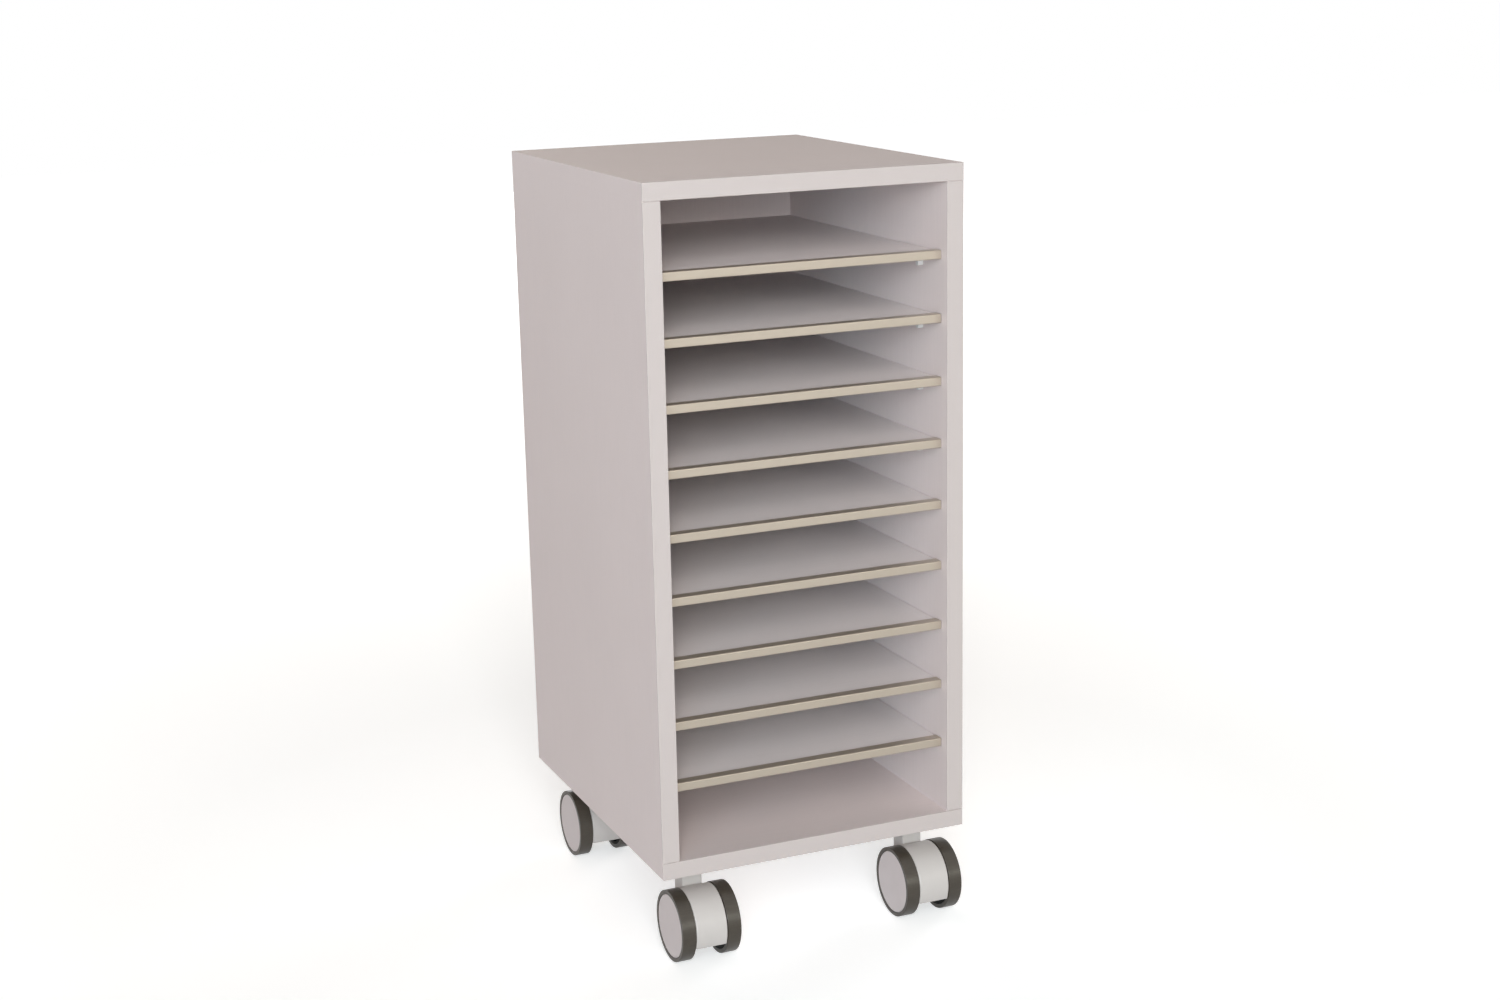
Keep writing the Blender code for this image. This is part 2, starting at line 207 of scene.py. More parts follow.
def makeLamps(setup):
    for name, lamp in setup.items():
        data = bpy.data.lights.new(name, "AREA")
        data.shape = "RECTANGLE"
        data.size, data.size_y = lamp["size"]
        data.energy = lamp["power"]
        data.color = lamp["tint"]
        thing = bpy.data.objects.new(name, data)
        heading, climb = (math.radians(angle) for angle in lamp["from"])
        flat = math.cos(climb)
        towards = Vector((math.sin(heading) * flat, -math.cos(heading) * flat, math.sin(climb)))
        turn = (-towards).to_track_quat("-Z", "Y").to_matrix().to_4x4()
        thing.matrix_world = Matrix.Translation(lampAim + towards * lampAway) @ turn
        thing.visible_camera = False
        bpy.context.scene.collection.objects.link(thing)


makeSky(skySetup)
makeFloor(floorSetup)
makeLamps(lampSetup)
bpy.context.scene.view_settings.view_transform = "Standard"
print("floor, sky and", len(lampSetup), "lamps set")

# finishes

noiseRoughness = 0.55


def grainNoise(tree, frequency, detail=3.0):
    # noise in the piece's own metres, with its own frequency along each axis
    place = addNode(tree, "ShaderNodeTexCoord")
    stretch = addNode(tree, "ShaderNodeMapping")
    stretch.inputs["Scale"].default_value = frequency
    noise = addNode(tree, "ShaderNodeTexNoise")
    noise.inputs["Scale"].default_value = 1.0
    noise.inputs["Detail"].default_value = detail
    noise.inputs["Roughness"].default_value = noiseRoughness
    tree.links.new(place.outputs["Object"], stretch.inputs["Vector"])
    tree.links.new(stretch.outputs["Vector"], noise.inputs["Vector"])
    return noise.outputs["Fac"]


def coat(tree, shader, colour, shade, grain, roughness, relief):
    # shade makes the colour lighter or darker; grain drives the roughness and a fine relief
    tinted = addNode(tree, "ShaderNodeVectorMath", operation="SCALE")
    tinted.inputs[0].default_value = colour
    tree.links.new(shade, tinted.inputs["Scale"])
    tree.links.new(tinted.outputs["Vector"], shader.inputs["Base Color"])
    tree.links.new(spread(tree, grain, *roughness), shader.inputs["Roughness"])
    bump = addNode(tree, "ShaderNodeBump")
    bump.inputs["Distance"].default_value = relief
    bump.inputs["Strength"].default_value = 1.0
    tree.links.new(grain, bump.inputs["Height"])
    tree.links.new(bump.outputs["Normal"], shader.inputs["Normal"])


boardFinish = {
    "carcassColour": (0.72, 0.633, 0.620),
    # the shelves are the same board as the carcass; their lighter, cooler colour is painted light for
    # the brighter, cooler light inside the compartments
    "shelfColour": (0.725, 0.672, 0.667),
    "fine": 1100.0,  # pores to the metre across the grain
    "long": 16.0,
    "cloud": 7.0,
    "grain": 0.022,
    "mottle": 0.012,
    "roughness": (0.54, 0.64),
    "gloss": 0.30,
    "relief": 0.00002,
}


def makeBoardFinish(name, axis, colour, setup):
    material, tree, shader = startFinish(name)
    frequency = [setup["fine"]] * 3
    frequency[axis] = setup["long"]
    pores = grainNoise(tree, frequency)
    cloud = grainNoise(tree, (setup["cloud"],) * 3, detail=2.0)
    poreShade = aboutOne(tree, pores, setup["grain"])
    shade = combine(tree, "MULTIPLY", poreShade, aboutOne(tree, cloud, setup["mottle"]))
    coat(tree, shader, colour, shade, pores, setup["roughness"], setup["relief"])
    shader.inputs["Specular IOR Level"].default_value = setup["gloss"]
    return material


edgingPaintedShadeFinish = {
    # the front bands' colour is set well below the boards': painted shade that holds down the front
    # edges, which face the lamps
    "colour": (0.506, 0.444, 0.429),
    "speckle": 900.0,
    "shade": 0.012,
    "roughness": (0.48, 0.56),
    "gloss": 0.30,
    "relief": 0.00001,
}


def makeEdgingFinish(setup):
    material, tree, shader = startFinish("edgingPaintedShade")
    speckle = grainNoise(tree, (setup["speckle"],) * 3)
    shade = aboutOne(tree, speckle, setup["shade"])
    coat(tree, shader, setup["colour"], shade, speckle, setup["roughness"], setup["relief"])
    shader.inputs["Specular IOR Level"].default_value = setup["gloss"]
    return material


stripFinish = {
    "colour": (0.455, 0.39, 0.32),
    "metal": 0.52,  # a champagne lacquer over brushed aluminium
    "acrossBrush": 9000.0,
    "alongBrush": 30.0,
    "shade": 0.005,
    "roughness": (0.282, 0.290),
    "relief": 0.0000001,
}


def makeStripFinish(setup):
    material, tree, shader = startFinish("champagneAluminium")
    across = setup["acrossBrush"]
    brush = grainNoise(tree, (setup["alongBrush"], across, across), detail=2.0)
    shade = aboutOne(tree, brush, setup["shade"])
    coat(tree, shader, setup["colour"], shade, brush, setup["roughness"], setup["relief"])
    shader.inputs["Metallic"].default_value = setup["metal"]
    return material


mouldedFinish = {
    "hoodPlastic": {"colour": (0.515, 0.475, 0.455), "roughness": (0.38, 0.46)},
    "discPlastic": {"colour": (0.60, 0.53, 0.525), "roughness": (0.36, 0.44)},
    "supportPlastic": {"colour": (0.74, 0.73, 0.72), "roughness": (0.34, 0.42)},
}
mouldTexture = {
    "spark": 2600.0,
    "sparkShade": 0.015,
    "cloud": 60.0,
    "cloudShade": 0.012,
    "relief": 0.000012,
}


def makeMouldedFinish(name, setup, texture):
    material, tree, shader = startFinish(name)
    spark = grainNoise(tree, (texture["spark"],) * 3, detail=2.0)
    cloud = grainNoise(tree, (texture["cloud"],) * 3, detail=2.0)
    sparkShade = aboutOne(tree, spark, texture["sparkShade"])
    shade = combine(tree, "MULTIPLY", sparkShade, aboutOne(tree, cloud, texture["cloudShade"]))
    coat(tree, shader, setup["colour"], shade, spark, setup["roughness"], texture["relief"])
    return material


rubberFinish = {
    "treadRubber": {
        "colour": (0.045, 0.036, 0.027),
        "gloss": 0.50,
        "roughness": (0.30, 0.42),
        "streak": 0.14,
    },
    # near-black side walls: partly a darker rubber than the tread, partly painted shade for the dark
    # ring round the disc
    "sideRubber": {
        "colour": (0.007, 0.0065, 0.006),
        "gloss": 0.025,
        "roughness": (0.50, 0.60),
        "streak": 0.03,
    },
    # near-black core: partly dark plastic, partly painted shade for the shadowed inner side of the
    # wheels
    "corePlasticPaintedShade": {
        "colour": (0.008, 0.008, 0.007),
        "gloss": 0.08,
        "roughness": (0.45, 0.55),
        "streak": 0.03,
    },
}
rubberTexture = {
    "streak": (60.0, 1500.0, 1500.0),  # fine lines that run along the axle
    "cloud": 90.0,
    "cloudShade": 0.10,
    "relief": 0.00001,
}


def makeRubberFinish(name, setup, texture):
    material, tree, shader = startFinish(name)
    streak = grainNoise(tree, texture["streak"])
    cloud = grainNoise(tree, (texture["cloud"],) * 3)
    streakShade = aboutOne(tree, streak, setup["streak"])
    shade = combine(tree, "MULTIPLY", aboutOne(tree, cloud, texture["cloudShade"]), streakShade)
    coat(tree, shader, setup["colour"], shade, streak, setup["roughness"], texture["relief"])
    shader.inputs["Specular IOR Level"].default_value = setup["gloss"]
    return material


zincFinish = {
    "colour": (0.60, 0.60, 0.59),
    "spangle": 420.0,
    "shade": 0.06,
    "roughness": (0.26, 0.42),
    "relief": 0.00001,
}


def makeZincFinish(setup):
    material, tree, shader = startFinish("zincSteel")
    spangle = grainNoise(tree, (setup["spangle"],) * 3, detail=4.0)
    shade = aboutOne(tree, spangle, setup["shade"])
    coat(tree, shader, setup["colour"], shade, spangle, setup["roughness"], setup["relief"])
    shader.inputs["Metallic"].default_value = 1.0
    return material


finish = {
    "acrossBoard": makeBoardFinish("boardAcross", 0, boardFinish["carcassColour"], boardFinish),
    "uprightBoard": makeBoardFinish("boardUpright", 2, boardFinish["carcassColour"], boardFinish),
    # the shelf finish's colour holds painted light for the inside of the compartments
    "shelfBoard": makeBoardFinish("boardShelfPaintedLight", 0, boardFinish["shelfColour"], boardFinish),
    "edgingPaintedShade": makeEdgingFinish(edgingPaintedShadeFinish),
    "strip": makeStripFinish(stripFinish),
    "zinc": makeZincFinish(zincFinish),
}
for mouldedName, mouldedSetup in mouldedFinish.items():
    finish[mouldedName] = makeMouldedFinish(mouldedName, mouldedSetup, mouldTexture)
for rubberName, rubberSetup in rubberFinish.items():
    finish[rubberName] = makeRubberFinish(rubberName, rubberSetup, rubberTexture)
print("finishes made:", len(finish))

# shape helpers

sameSpot = 1e-6  # metres; closer places count as one
rodSteps = 40


def meshOf(name, shape):
    bmesh.ops.recalc_face_normals(shape, faces=shape.faces)
    mesh = bpy.data.meshes.new(name)
    shape.to_mesh(mesh)
    shape.free()
    return mesh


def addPiece(name, shape, finishes, body, stoodFor, sharpAngle=40.0):
    addMeshPiece(name, meshOf(name, shape), finishes, body, stoodFor, sharpAngle)


def addMeshPiece(name, mesh, finishes, body, stoodFor, sharpAngle=40.0):
    mesh.materials.clear()
    for material in finishes:
        mesh.materials.append(material)
    mesh.shade_smooth()
    mesh.set_sharp_from_angle(angle=math.radians(sharpAngle))
    piece = bpy.data.objects.new(name, mesh)
    bpy.context.scene.collection.objects.link(piece)
    evenOut = piece.modifiers.new("flatFaces", "WEIGHTED_NORMAL")
    evenOut.keep_sharp = True
    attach(piece, body)
    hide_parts(*stoodFor)


def roundEdges(shape, edges, radius, steps):
    bmesh.ops.bevel(shape, geom=edges, offset=radius, segments=steps, profile=0.5, affect="EDGES")


def sidesOf(edge, low, high):
    # the two sides of a block that an edge lies on, such as {"x-", "z+"}
    middle = (edge.verts[0].co + edge.verts[1].co) / 2
    below = {f"{axis}-" for axis, at, end in zip("xyz", middle, low) if abs(at - end) < sameSpot}
    above = {f"{axis}+" for axis, at, end in zip("xyz", middle, high) if abs(at - end) < sameSpot}
    return below | above


def addBlock(shape, low, high, radius, steps, square=()):
    # edges on all the sides that an entry of square names stay square
    size = [high[axis] - low[axis] for axis in range(3)]
    middle = [(high[axis] + low[axis]) / 2 for axis in range(3)]
    placing = Matrix.Translation(middle) @ Matrix.Diagonal((*size, 1.0))
    made = bmesh.ops.create_cube(shape, size=1.0, matrix=placing)
    edges = {edge for vert in made["verts"] for edge in vert.link_edges}
    rounded = []
    for edge in sorted(edges, key=lambda one: one.index):
        sides = sidesOf(edge, low, high)
        if not any(set(named) <= sides for named in square):
            rounded.append(edge)
    roundEdges(shape, rounded, radius, steps)


def roundOutline(corners, steps):
    # each corner is two coordinates and a radius, and is turned into an arc
    outline = []
    for index, (y, z, radius) in enumerate(corners):
        here = Vector((y, z))
        before = Vector(corners[index - 1][:2]) - here
        after = Vector(corners[(index + 1) % len(corners)][:2]) - here
        before.normalize()
        after.normalize()
        opening = before.angle(after)
        reach = radius / math.tan(opening / 2)
        centre = here + (before + after).normalized() * (radius / math.sin(opening / 2))
        start, end = here + before * reach - centre, here + after * reach - centre
        swing = start.angle_signed(end)
        for step in range(steps + 1):
            outline.append(centre + Matrix.Rotation(-swing * step / steps, 2) @ start)
    return outline


def growFace(shape, corners, way):
    # a face on the corners, drawn out into a closed block
    cap = shape.faces.new(corners)
    grown = bmesh.ops.extrude_face_region(shape, geom=[cap])
    moved = [part for part in grown["geom"] if isinstance(part, bmesh.types.BMVert)]
    bmesh.ops.translate(shape, verts=moved, vec=way)


def extrudeOutline(shape, outline, startX, endX):
    corners = [shape.verts.new((startX, y, z)) for y, z in outline]
    growFace(shape, corners, (endX - startX, 0.0, 0.0))


def turnProfile(shape, profile, centre, steps, closed=False):
    # profile is (x, radius) about an axle that runs along X
    rings = []
    for x, radius in profile:
        if radius < sameSpot:
            rings.append([shape.verts.new((centre[0] + x, centre[1], centre[2]))])
            continue
        ring = []
        for step in range(steps):
            angle = 2 * math.pi * step / steps
            y = centre[1] + radius * math.sin(angle)
            z = centre[2] - radius * math.cos(angle)
            ring.append(shape.verts.new((centre[0] + x, y, z)))
        rings.append(ring)
    pairs = list(zip(rings, rings[1:]))
    if closed:
        pairs.append((rings[-1], rings[0]))
    for first, second in pairs:
        for step in range(steps):
            following = (step + 1) % steps
            corners = [first[step % len(first)], first[following % len(first)],
                       second[following % len(second)], second[step % len(second)]]
            kept = []
            for vert in corners:
                if vert not in kept:
                    kept.append(vert)
            if len(kept) > 2:
                shape.faces.new(kept)


def standUp(shape, place):
    # turns what was made along X upright, then moves it to its place
    bmesh.ops.transform(shape, matrix=Matrix.Rotation(-math.pi / 2, 4, "Y"), verts=shape.verts)
    bmesh.ops.translate(shape, vec=place, verts=shape.verts)


def shellObject(name, shape):
    thing = bpy.data.objects.new(name, meshOf(name, shape))
    bpy.context.scene.collection.objects.link(thing)
    return thing


def carve(base, steps):
    # joins and cuts closed shells in order, and gives back one finished mesh
    for operation, tool in steps:
        cut = base.modifiers.new(tool.name, "BOOLEAN")
        cut.operation = operation
        cut.solver = "EXACT"
        cut.object = tool
    depsgraph = bpy.context.evaluated_depsgraph_get()
    mesh = bpy.data.meshes.new_from_object(base.evaluated_get(depsgraph))
    for thing in [base] + [tool for operation, tool in steps]:
        bpy.data.objects.remove(thing, do_unlink=True)
    return mesh


def rodProfile(radius, start, end):
    return [(start, 0.0), (start, radius), (end, radius), (end, 0.0)]


def rodShell(name, radius, startX, endX, centre):
    shape = bmesh.new()
    turnProfile(shape, rodProfile(radius, startX, endX), centre, rodSteps)
    return shellObject(name, shape)


def uprightRod(name, radius, lowZ, highZ, place):
    shape = bmesh.new()
    turnProfile(shape, rodProfile(radius, lowZ, highZ), (0.0, 0.0, 0.0), rodSteps)
    standUp(shape, place)
    return shellObject(name, shape)


# carcass boards

carcassBoards = {
    "rounding": 0.0006,
    "steps": 4,
    "joint": 0.00004,  # what is left open where two boards meet
    "band": 0.001,  # thickness of the edge bands
    "trim": 0.0004,  # the side boards' bands end this far short of the joints
}
boardList = {
    "top_board": {
        "node": "top_panel",
        "look": "acrossBoard",
        "square": (("z-", "x-"), ("z-", "x+")),
    },
    "bottom_board": {
        "node": "bottom_panel",
        "look": "acrossBoard",
        "square": (("z+", "x-"), ("z+", "x+")),
    },
    "left_side_board": {
        "node": "left_side_panel",
        "look": "uprightBoard",
        "square": (("z-",), ("z+",)),
    },
    "right_side_board": {
        "node": "right_side_panel",
        "look": "uprightBoard",
        "square": (("z-",), ("z+",)),
    },
    "back_board": {
        "node": "back_panel",
        "look": "uprightBoard",
        "square": (("y-",), ("y+",)),
    },
}
bandedBoards = ("top_board", "bottom_board", "left_side_board", "right_side_board")
shelfCount = sum(1 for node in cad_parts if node.startswith("shelf_strip_"))
shelfSupport = {
    "reach": 0.006,  # how far a support stands out of its side board
    "width": 0.006,
    "height": 0.0125,
    "inset": 0.043,
    "gap": 0.0003,
    "wallGap": 0.00005,
    "rounding": 0.0006,
    "roundSteps": 6,
    "lowerRound": 0.98,  # share of half the width
    "rimRound": 0.8,  # share of the rounding
    "rimSteps": 3,
    "pin": 0.0024,
    "pinLength": 0.0085,
    "pinTip": 0.0006,
    "bore": 0.0025,
    "boreDepth": 0.009,
    "pinSteps": 24,
}


def supportPlaces(setup):
    # middle in Y and upper end in Z of each support on one side board
    places = []
    for number in range(1, shelfCount + 1):
        shelfLow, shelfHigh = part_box(f"shelf_{number}")
        stripLow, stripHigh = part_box(f"shelf_strip_{number}")
        for middleY in (stripLow.y + setup["inset"], shelfHigh.y - setup["inset"]):
            places.append((middleY, shelfLow.z - setup["gap"]))
    return places


def boreShell(wallX, inward, setup):
    # one blind hole for each support's pin
    shape = bmesh.new()
    profile = rodProfile(setup["bore"], -inward * setup["reach"], inward * setup["boreDepth"])
    for middleY, topZ in supportPlaces(setup):
        middle = (wallX, middleY, topZ - setup["height"] / 2)
        turnProfile(shape, profile, middle, setup["pinSteps"])
    return shellObject("boreShell", shape)


def boardBox(name):
    # side and back boards are fitted between their neighbours, flush outside
    low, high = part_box(boardList[name]["node"])
    topLow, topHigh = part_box("top_panel")
    baseLow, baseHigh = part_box("bottom_panel")
    joint = carcassBoards["joint"]
    if name in ("left_side_board", "right_side_board", "back_board"):
        low.z = baseHigh.z + joint
        high.z = topLow.z - joint
    if name == "left_side_board":
        low.x = topLow.x
        high.x -= shelfSupport["reach"]
    if name == "right_side_board":
        low.x += shelfSupport["reach"]
        high.x = topHigh.x
    if name == "back_board":
        low.x = boardBox("left_side_board")[1].x + joint
        high.x = boardBox("right_side_board")[0].x - joint
    return low, high


def makeBoards(setup):
    for name, board in boardList.items():
        low, high = boardBox(name)
        square = board["square"]
        if name in bandedBoards:
            low.y += setup["band"]
            high.y -= setup["band"]
            square += (("y-",), ("y+",))
        shape = bmesh.new()
        addBlock(shape, low, high, setup["rounding"], setup["steps"], square)
        made = shellObject("boardShell", shape)
        cuts = []
        if "side" in name:
            inward, wallX = (-1.0, high.x) if name == "left_side_board" else (1.0, low.x)
            cuts.append(("DIFFERENCE", boreShell(wallX, inward, shelfSupport)))
        mesh = carve(made, cuts)
        addMeshPiece(name, mesh, (finish[board["look"]],), "carcass", (board["node"],))


def makeBands(setup):
    for name in bandedBoards:
        low, high = boardBox(name)
        if "side" in name:
            low.z += setup["trim"]
            high.z -= setup["trim"]
        thickness = setup["band"] - setup["joint"]
        frontHigh = Vector((high.x, low.y + thickness, high.z))
        rearLow = Vector((low.x, high.y - thickness, low.z))
        node, rearLook = boardList[name]["node"], boardList[name]["look"]
        # front bands get the edging colour with painted shade; rear bands keep their board's finish
        ends = (("front", low, frontHigh, "y+", "edgingPaintedShade"), ("rear", rearLow, high, "y-", rearLook))
        for end, start, stop, inner, look in ends:
            band = name.replace("board", f"{end}_band")
            shape = bmesh.new()
            addBlock(shape, start, stop, setup["rounding"], setup["steps"], ((inner,),))
            addPiece(band, shape, (finish[look],), "carcass", (node,))


makeBoards(carcassBoards)
makeBands(carcassBoards)
print("boards made:", len(boardList))

# shelves, edge strips and supports

shelfBoard = {
    "rounding": 0.0004,
    "steps": 2,
}


def makeShelves(setup):
    for number in range(1, shelfCount + 1):
        node = f"shelf_{number}"
        name = f"shelf_board_{number}"
        shape = bmesh.new()
        addBlock(shape, *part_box(node), setup["rounding"], setup["steps"])
        addPiece(name, shape, (finish["shelfBoard"],), "carcass", (node,))


edgeStrip = {
    "wall": 0.0012,
    "outerRound": 0.0009,
    "innerRound": 0.0002,
    "lipRound": 0.00055,
    "steps": 5,
}


def makeStrips(setup):
    wall, lip = setup["wall"], setup["lipRound"]
    outer, inner = setup["outerRound"], setup["innerRound"]
    for number in range(1, shelfCount + 1):
        node = f"shelf_strip_{number}"
        low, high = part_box(node)
        corners = [
            (low.y, low.z, outer),
            (high.y, low.z, lip),
            (high.y, low.z + wall, lip),
            (low.y + wall, low.z + wall, inner),
            (low.y + wall, high.z - wall, inner),
            (high.y, high.z - wall, lip),
            (high.y, high.z, lip),
            (low.y, high.z, outer),
        ]
        shape = bmesh.new()
        extrudeOutline(shape, roundOutline(corners, setup["steps"]), low.x, high.x)
        addPiece(f"edge_strip_{number}", shape, (finish["strip"],), "carcass", (node,))


def pinProfile(setup, outward):
    # starts inside the support and ends in the board, with a chamfered tip
    rootX, endX = -outward * setup["reach"] / 2, outward * setup["pinLength"]
    return [
        (rootX, 0.0),
        (rootX, setup["pin"]),
        (endX - outward * setup["pinTip"], setup["pin"]),
        (endX, setup["pin"] - setup["pinTip"]),
        (endX, 0.0),
    ]


def makeSupports(setup):
    half = setup["width"] / 2
    upper, lower = setup["rounding"], half * setup["lowerRound"]
    for hand, outward in (("left", -1.0), ("right", 1.0)):
        boardLow, boardHigh = boardBox(f"{hand}_side_board")
        wallX = (boardHigh.x if outward < 0 else boardLow.x) - outward * setup["wallGap"]
        tipX = wallX - outward * (setup["reach"] - setup["wallGap"])
        tips, pins = bmesh.new(), bmesh.new()
        for middleY, topZ in supportPlaces(setup):
            lowZ = topZ - setup["height"]
            corners = [
                (middleY - half, topZ, upper),
                (middleY - half, lowZ, lower),
                (middleY + half, lowZ, lower),
                (middleY + half, topZ, upper),
            ]
            extrudeOutline(tips, roundOutline(corners, setup["roundSteps"]), wallX, tipX)
            middle = (wallX, middleY, (topZ + lowZ) / 2)
            turnProfile(pins, pinProfile(setup, outward), middle, setup["pinSteps"])
        rim = [edge for edge in tips.edges
               if all(abs(vert.co.x - tipX) < sameSpot for vert in edge.verts)]
        roundEdges(tips, rim, setup["rounding"] * setup["rimRound"], setup["rimSteps"])
        mesh = carve(shellObject("tipShell", tips), [("UNION", shellObject("pinShell", pins))])
        addMeshPiece(f"{hand}_side_supports", mesh, (finish["supportPlastic"],), "carcass",
                     (f"{hand}_side_panel",))


makeShelves(shelfBoard)
makeStrips(edgeStrip)
makeSupports(shelfSupport)
print("shelves made:", shelfCount)

# casters


def casterFacts(corner):
    tyreLow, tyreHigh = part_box(f"{corner}_caster_left_tyre")
    otherLow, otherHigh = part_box(f"{corner}_caster_right_tyre")
    pinLow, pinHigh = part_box(f"{corner}_caster_kingpin")
    axleX = (tyreLow.x + otherHigh.x) / 2
    axleY = (tyreLow.y + tyreHigh.y) / 2
    axleZ = (tyreLow.z + tyreHigh.z) / 2
    return {
        "axle": Vector((axleX, axleY, axleZ)),
        "reach": (tyreHigh.z - tyreLow.z) / 2,
        "outer": (otherHigh.x - tyreLow.x) / 2,
        "inner": (otherLow.x - tyreHigh.x) / 2,
        "pin": Vector(((pinLow.x + pinHigh.x) / 2, (pinLow.y + pinHigh.y) / 2, pinHigh.z)),
    }


screwPiece = {
    "head": 0.0042,
    "height": 0.0021,
    "side": 0.35,  # the dome starts from this share of the height
    "crown": 0.62,  # share of the radius that the dome closes to
    "flat": 0.55,
    "domeSteps": 6,
    "socket": 0.00125,  # from the middle to a flat
    "socketDepth": 0.0013,
    "socketTaper": 0.92,
    "socketSides": 6,
    "steps": 24,
    "sharpAngle": 30.0,
}


def addScrew(shape, place, setup):
    # a pan head that hangs under the plate, with a six-sided socket
    screw = bmesh.new()
    head, height = setup["head"], setup["height"]
    side, crown = setup["side"], setup["crown"]
    profile = [(0.0, 0.0), (0.0, head)]
    for step in range(1, setup["domeSteps"]):
        angle = math.pi / 2 * step / setup["domeSteps"]
        drop = height * (side + (1 - side) * math.sin(angle))
        profile.append((drop, head * (crown + (1 - crown) * math.cos(angle))))
    profile.append((height, head * setup["flat"]))
    profile.append((height, setup["socket"]))
    turnProfile(screw, profile, (0.0, 0.0, 0.0), setup["steps"])
    mouth = [edge for edge in screw.edges if edge.is_boundary]
    halfSide = math.pi / setup["socketSides"]
    for vert in {vert for edge in mouth for vert in edge.verts}:
        fromMiddle = math.atan2(vert.co.z, vert.co.y) % (2 * halfSide) - halfSide
        vert.co.y /= math.cos(fromMiddle)
        vert.co.z /= math.cos(fromMiddle)
    grown = bmesh.ops.extrude_edge_only(screw, edges=mouth)
    moved = [part for part in grown["geom"] if isinstance(part, bmesh.types.BMVert)]
    for vert in moved:
        vert.co.x = height - setup["socketDepth"]
        vert.co.y *= setup["socketTaper"]
        vert.co.z *= setup["socketTaper"]
    bmesh.ops.holes_fill(screw, edges=[edge for edge in screw.edges if edge.is_boundary])
    bmesh.ops.recalc_face_normals(screw, faces=screw.faces)
    bmesh.ops.transform(screw, matrix=Matrix.Rotation(math.pi / 2, 4, "Y"), verts=screw.verts)
    bmesh.ops.translate(screw, vec=place, verts=screw.verts)
    mesh = bpy.data.meshes.new("screw")
    screw.to_mesh(mesh)
    screw.free()
    shape.from_mesh(mesh)
    bpy.data.meshes.remove(mesh)


platePiece = {
    "cornerRound": 0.006,
    "cornerSteps": 8,
    "edgeRound": 0.0004,
    "edgeSteps": 2,
    "screwInset": 0.009,
    "hole": 0.0054,
    "overcut": 0.01,
}


def makePlate(corner, facts, setup):
    node = f"{corner}_caster_plate"
    low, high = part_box(node)
    radius, inset, overcut = setup["cornerRound"], setup["screwInset"], setup["overcut"]
    corners = [
        (low.y, low.x, radius),
        (high.y, low.x, radius),
        (high.y, high.x, radius),
        (low.y, high.x, radius),
    ]
    outline = roundOutline(corners, setup["cornerSteps"])
    shape = bmesh.new()
    ring = [shape.verts.new((x, y, high.z)) for y, x in outline]
    growFace(shape, ring, (0.0, 0.0, low.z - high.z))
    rim = [edge for edge in shape.edges
           if all(abs(vert.co.z - low.z) < sameSpot for vert in edge.verts)]
    roundEdges(shape, rim, setup["edgeRound"], setup["edgeSteps"])
    plate = shellObject("plateShell", shape)
    holePlace = (facts["pin"].x, facts["pin"].y, 0.0)
    hole = uprightRod("plateHole", setup["hole"], low.z - overcut, high.z + overcut, holePlace)
    mesh = carve(plate, [("DIFFERENCE", hole)])
    addMeshPiece(f"{corner}_mount_plate", mesh, (finish["zinc"],), "carcass", (node,))
    shape = bmesh.new()
    for x in (low.x + inset, high.x - inset):
        for y in (low.y + inset, high.y - inset):
            addScrew(shape, (x, y, low.z), screwPiece)
    addPiece(f"{corner}_plate_screws", shape, (finish["zinc"],), "carcass", (node,),
             screwPiece["sharpAngle"])


pinPiece = {
    "radius": 0.005,
    "collar": 0.010,
    "collarThickness": 0.002,
    "collarChamfer": 0.0003,
    "tipChamfer": 0.0006,
    "seat": 0.0003,
    "steps": 48,
}


def makePin(corner, facts, setup):
    node = f"{corner}_caster_kingpin"
    low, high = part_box(node)
    plateLow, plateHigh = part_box(f"{corner}_caster_plate")
    radius, tip = setup["radius"], setup["tipChamfer"]
    collar, chamfer = setup["collar"], setup["collarChamfer"]
    collarTop = plateLow.z - setup["seat"]
    collarLow = collarTop - setup["collarThickness"]
    profile = [
        (high.z, 0.0),
        (high.z, radius),
        (collarTop, radius),
        (collarTop, collar - chamfer),
        (collarTop - chamfer, collar),
        (collarLow + chamfer, collar),
        (collarLow, collar - chamfer),
        (collarLow, radius),
        (low.z + tip, radius),
        (low.z, radius - tip),
        (low.z, 0.0),
    ]
    shape = bmesh.new()
    turnProfile(shape, profile, (0.0, 0.0, 0.0), setup["steps"])
    standUp(shape, (facts["pin"].x, facts["pin"].y, 0.0))
    addPiece(f"{corner}_pin", shape, (finish["zinc"],), "carcass", (node,))


hoodPiece = {
    "radius": 0.0368,
    "drop": 0.0155,
    "wall": 0.0025,
    "cheek": 0.003,
    "steps": 64,
    "edgeRound": 0.0012,
    "edgeSteps": 3,
    "neckSide": 0.022,
    "neckRoot": 0.010,
    "neckRound": 0.0012,
    "neckSteps": 3,
    "boss": 0.008,
    "bossGrip": 0.001,  # how far the boss runs into each cheek
    "axleHole": 0.0043,
    "pinHole": 0.0053,
    "pinHoleDepth": 0.0315,
    "sharpAngle": 32.0,
}


def hoodOutline(axle, radius, drop, steps):
    start = math.asin(-drop / radius)
    sweep = math.pi - 2 * start
    angles = [start + sweep * step / steps for step in range(steps + 1)]
    return [(axle.y + radius * math.cos(angle), axle.z + radius * math.sin(angle)) for angle in angles]


